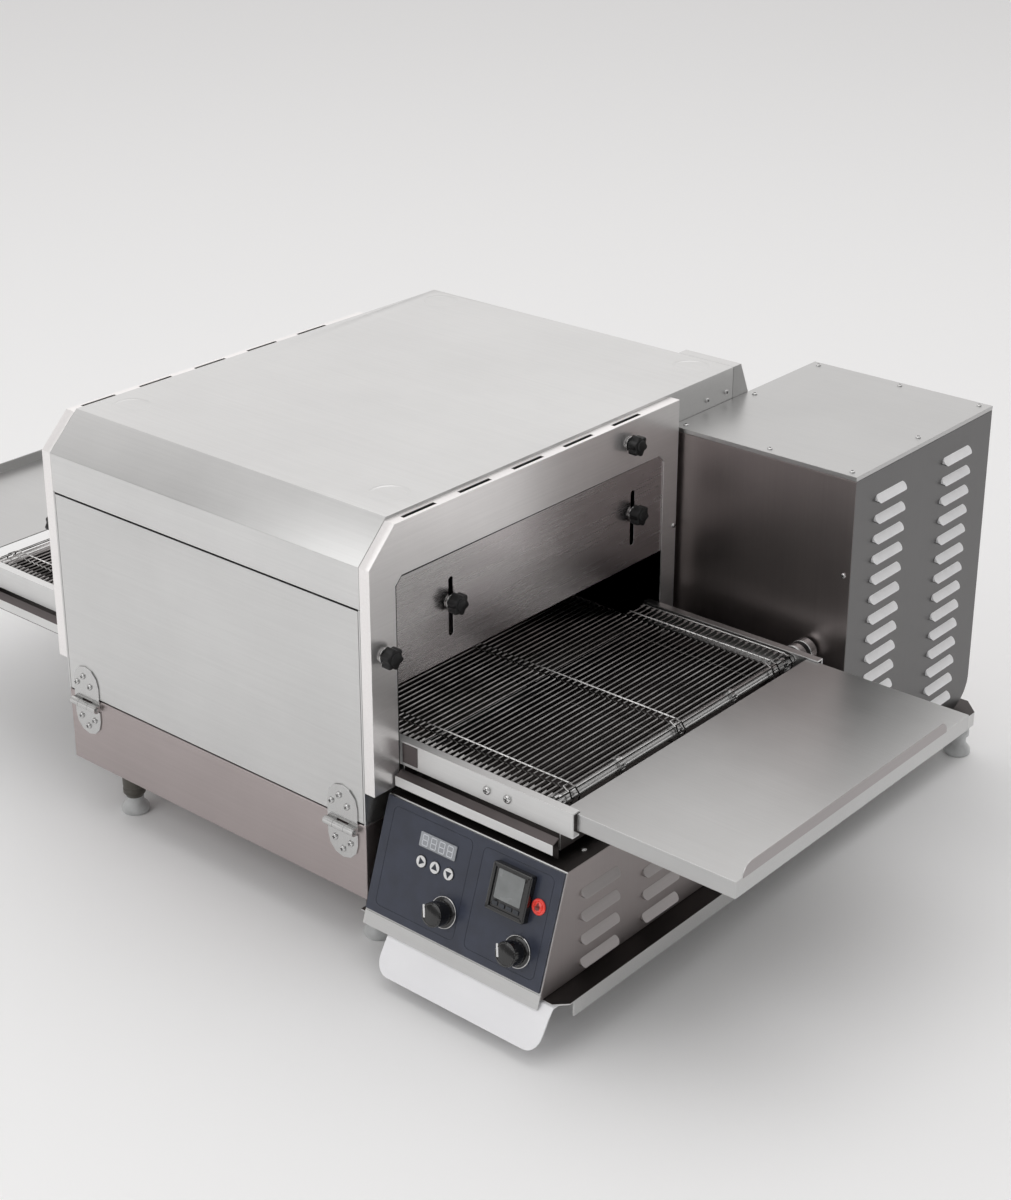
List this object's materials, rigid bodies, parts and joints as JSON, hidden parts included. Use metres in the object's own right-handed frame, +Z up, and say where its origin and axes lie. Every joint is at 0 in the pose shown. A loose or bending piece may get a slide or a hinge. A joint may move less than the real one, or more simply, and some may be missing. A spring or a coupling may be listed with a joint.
{
  "type": "countertop conveyor pizza oven",
  "caption": "Countertop conveyor oven: a wire belt runs through a baking chamber with a drop-down front door, adjustable end baffles, sliding crumb pans and a side control box.",
  "frame": {"origin": "centre of the whole width and depth, on the plane of the worktop under the feet", "axes": "+X along the belt towards the exit tray, +Y from the front door towards the back, +Z up"},
  "size_m": [1.29, 0.826, 0.473],
  "materials": {
    "stainless": "satin stainless sheet with a fine grain",
    "stainless_cover": "satin stainless sheet, grain along the tunnel",
    "chamber_steel": "plain oven-darkened steel sheet",
    "heater_sheath": "heat-blued heater sheath",
    "motor_paint": "dark grey machine enamel",
    "turned_steel": "turned bright steel",
    "hinge_steel": "pressed stainless hinge",
    "belt_wire": "oven-darkened stainless wire",
    "panel_overlay": "dark blue-grey satin overlay",
    "display": "smoked glossy window",
    "button_plastic": "dark key with a white ring and arrow",
    "black_plastic": "black moulded plastic",
    "lamp_lens": "red-orange indicator lens",
    "white_sheet": "white coated sheet",
    "foot_rubber": "grey translucent rubber foot on a stud"
  },
  "bodies": {
    "cabinet": {"base_housing": "stainless", "chamber_liner": "chamber_steel", "right_end_wall": "stainless", "left_end_wall": "stainless", "rear_panel": "stainless", "lid": "stainless", "rear_cowl": "stainless", "right_end_cover": "stainless_cover", "left_end_cover": "stainless_cover", "left_hinge_lower_leaf": "hinge_steel", "right_hinge_lower_leaf": "hinge_steel", "upper_air_duct": "chamber_steel", "lower_air_duct": "chamber_steel", "heating_element": "heater_sheath", "fan_motor": "motor_paint", "front_rail": "stainless", "rear_rail": "stainless", "wire_belt": "belt_wire", "exit_tray": "stainless", "entry_tray": "stainless", "gear_motor": "motor_paint", "machine_base_pan": "stainless", "control_box": "stainless", "control_panel": "panel_overlay", "display_window": "display", "temperature_controller": "black_plastic", "flame_lamp": "lamp_lens", "rear_box_body": "stainless", "rear_box_lid": "stainless", "front_flap": "white_sheet"},
    "door": {"door_skin": "stainless", "door_liner": "chamber_steel", "left_hinge_upper_leaf": "hinge_steel", "right_hinge_upper_leaf": "hinge_steel"},
    "right_baffle": {"right_baffle": "stainless_cover"},
    "right_front_baffle_knob": {"right_front_baffle_knob": "black_plastic"},
    "right_rear_baffle_knob": {"right_rear_baffle_knob": "black_plastic"},
    "right_front_cover_knob": {"right_front_cover_knob": "black_plastic"},
    "right_rear_cover_knob": {"right_rear_cover_knob": "black_plastic"},
    "right_crumb_pan": {"right_crumb_pan": "stainless"},
    "left_baffle": {"left_baffle": "stainless_cover"},
    "left_front_baffle_knob": {"left_front_baffle_knob": "black_plastic"},
    "left_rear_baffle_knob": {"left_rear_baffle_knob": "black_plastic"},
    "left_front_cover_knob": {"left_front_cover_knob": "black_plastic"},
    "left_rear_cover_knob": {"left_rear_cover_knob": "black_plastic"},
    "left_crumb_pan": {"left_crumb_pan": "stainless"},
    "drive_shaft": {"drive_shaft": "turned_steel"},
    "idler_shaft": {"idler_shaft": "turned_steel"},
    "fan_wheel": {"fan_wheel": "chamber_steel"},
    "start_button": {"start_button": "button_plastic"},
    "up_button": {"up_button": "button_plastic"},
    "down_button": {"down_button": "button_plastic"},
    "speed_knob": {"speed_knob": "black_plastic"},
    "heat_knob": {"heat_knob": "black_plastic"},
    "front_left_foot": {"front_left_foot": "foot_rubber"},
    "front_right_foot": {"front_right_foot": "foot_rubber"},
    "rear_left_foot": {"rear_left_foot": "foot_rubber"},
    "rear_right_foot": {"rear_right_foot": "foot_rubber"},
    "machine_foot": {"machine_foot": "foot_rubber"}
  },
  "joints": [
    {"name": "door_hinge", "type": "hinge", "parent": "cabinet", "child": "door", "pos_m": [0, -0.38, 0.14], "axis": [1, 0, 0], "range_deg": [0, 100]},
    {"name": "right_baffle_slide", "type": "slide", "parent": "cabinet", "child": "right_baffle", "axis": [0, 0, 1], "range_m": [-0.02, 0.025]},
    {"name": "right_front_baffle_knob_turn", "type": "hinge", "parent": "cabinet", "child": "right_front_baffle_knob", "pos_m": [0.25, -0.258, 0.36], "axis": [1, 0, 0], "continuous": true},
    {"name": "right_rear_baffle_knob_turn", "type": "hinge", "parent": "cabinet", "child": "right_rear_baffle_knob", "pos_m": [0.25, 0.039, 0.36], "axis": [1, 0, 0], "continuous": true},
    {"name": "right_front_cover_knob_turn", "type": "hinge", "parent": "cabinet", "child": "right_front_cover_knob", "pos_m": [0.255, -0.357, 0.338], "axis": [1, 0, 0], "continuous": true},
    {"name": "right_rear_cover_knob_turn", "type": "hinge", "parent": "cabinet", "child": "right_rear_cover_knob", "pos_m": [0.255, 0.029, 0.445], "axis": [1, 0, 0], "continuous": true},
    {"name": "right_crumb_pan_slide", "type": "slide", "parent": "cabinet", "child": "right_crumb_pan", "axis": [0, -1, 0], "range_m": [0, 0.38]},
    {"name": "left_baffle_slide", "type": "slide", "parent": "cabinet", "child": "left_baffle", "axis": [0, 0, 1], "range_m": [-0.02, 0.025]},
    {"name": "left_front_baffle_knob_turn", "type": "hinge", "parent": "cabinet", "child": "left_front_baffle_knob", "pos_m": [-0.25, -0.258, 0.36], "axis": [1, 0, 0], "continuous": true},
    {"name": "left_rear_baffle_knob_turn", "type": "hinge", "parent": "cabinet", "child": "left_rear_baffle_knob", "pos_m": [-0.25, 0.039, 0.36], "axis": [1, 0, 0], "continuous": true},
    {"name": "left_front_cover_knob_turn", "type": "hinge", "parent": "cabinet", "child": "left_front_cover_knob", "pos_m": [-0.255, -0.357, 0.338], "axis": [1, 0, 0], "continuous": true},
    {"name": "left_rear_cover_knob_turn", "type": "hinge", "parent": "cabinet", "child": "left_rear_cover_knob", "pos_m": [-0.255, 0.029, 0.445], "axis": [1, 0, 0], "continuous": true},
    {"name": "left_crumb_pan_slide", "type": "slide", "parent": "cabinet", "child": "left_crumb_pan", "axis": [0, -1, 0], "range_m": [0, 0.38]},
    {"name": "drive_shaft_spin", "type": "hinge", "parent": "cabinet", "child": "drive_shaft", "pos_m": [0.424, -0.125, 0.2215], "axis": [0, 1, 0], "continuous": true},
    {"name": "idler_shaft_spin", "type": "hinge", "parent": "cabinet", "child": "idler_shaft", "pos_m": [-0.424, -0.125, 0.2215], "axis": [0, 1, 0], "continuous": true},
    {"name": "fan_spin", "type": "hinge", "parent": "cabinet", "child": "fan_wheel", "pos_m": [0, 0.115, 0.29], "axis": [0, 1, 0], "continuous": true},
    {"name": "start_button_press", "type": "slide", "parent": "cabinet", "child": "start_button", "axis": [0, 0.9493, -0.3145], "range_m": [0, 0.001], "stiffness_N_per_m": 300},
    {"name": "up_button_press", "type": "slide", "parent": "cabinet", "child": "up_button", "axis": [0, 0.9493, -0.3145], "range_m": [0, 0.001], "stiffness_N_per_m": 300},
    {"name": "down_button_press", "type": "slide", "parent": "cabinet", "child": "down_button", "axis": [0, 0.9493, -0.3145], "range_m": [0, 0.001], "stiffness_N_per_m": 300},
    {"name": "speed_knob_turn", "type": "hinge", "parent": "cabinet", "child": "speed_knob", "pos_m": [0.341, -0.38748, 0.10016], "axis": [0, -0.9493, 0.3145], "range_deg": [-240, 60]},
    {"name": "heat_knob_turn", "type": "hinge", "parent": "cabinet", "child": "heat_knob", "pos_m": [0.436, -0.38843, 0.09731], "axis": [0, -0.9493, 0.3145], "range_deg": [-240, 60]},
    {"name": "front_left_foot_turn", "type": "hinge", "parent": "cabinet", "child": "front_left_foot", "pos_m": [-0.17, -0.343, 0.03], "axis": [0, 0, 1], "continuous": true},
    {"name": "front_right_foot_turn", "type": "hinge", "parent": "cabinet", "child": "front_right_foot", "pos_m": [0.215, -0.343, 0.03], "axis": [0, 0, 1], "continuous": true},
    {"name": "rear_left_foot_turn", "type": "hinge", "parent": "cabinet", "child": "rear_left_foot", "pos_m": [-0.17, 0.209, 0.03], "axis": [0, 0, 1], "continuous": true},
    {"name": "rear_right_foot_turn", "type": "hinge", "parent": "cabinet", "child": "rear_right_foot", "pos_m": [0.215, 0.209, 0.03], "axis": [0, 0, 1], "continuous": true},
    {"name": "machine_foot_turn", "type": "hinge", "parent": "cabinet", "child": "machine_foot", "pos_m": [0.477, 0.389, 0.03], "axis": [0, 0, 1], "continuous": true}
  ],
  "couplings": [
    {"joint": "idler_shaft_spin", "follows": "drive_shaft_spin", "ratio": 1}
  ]
}
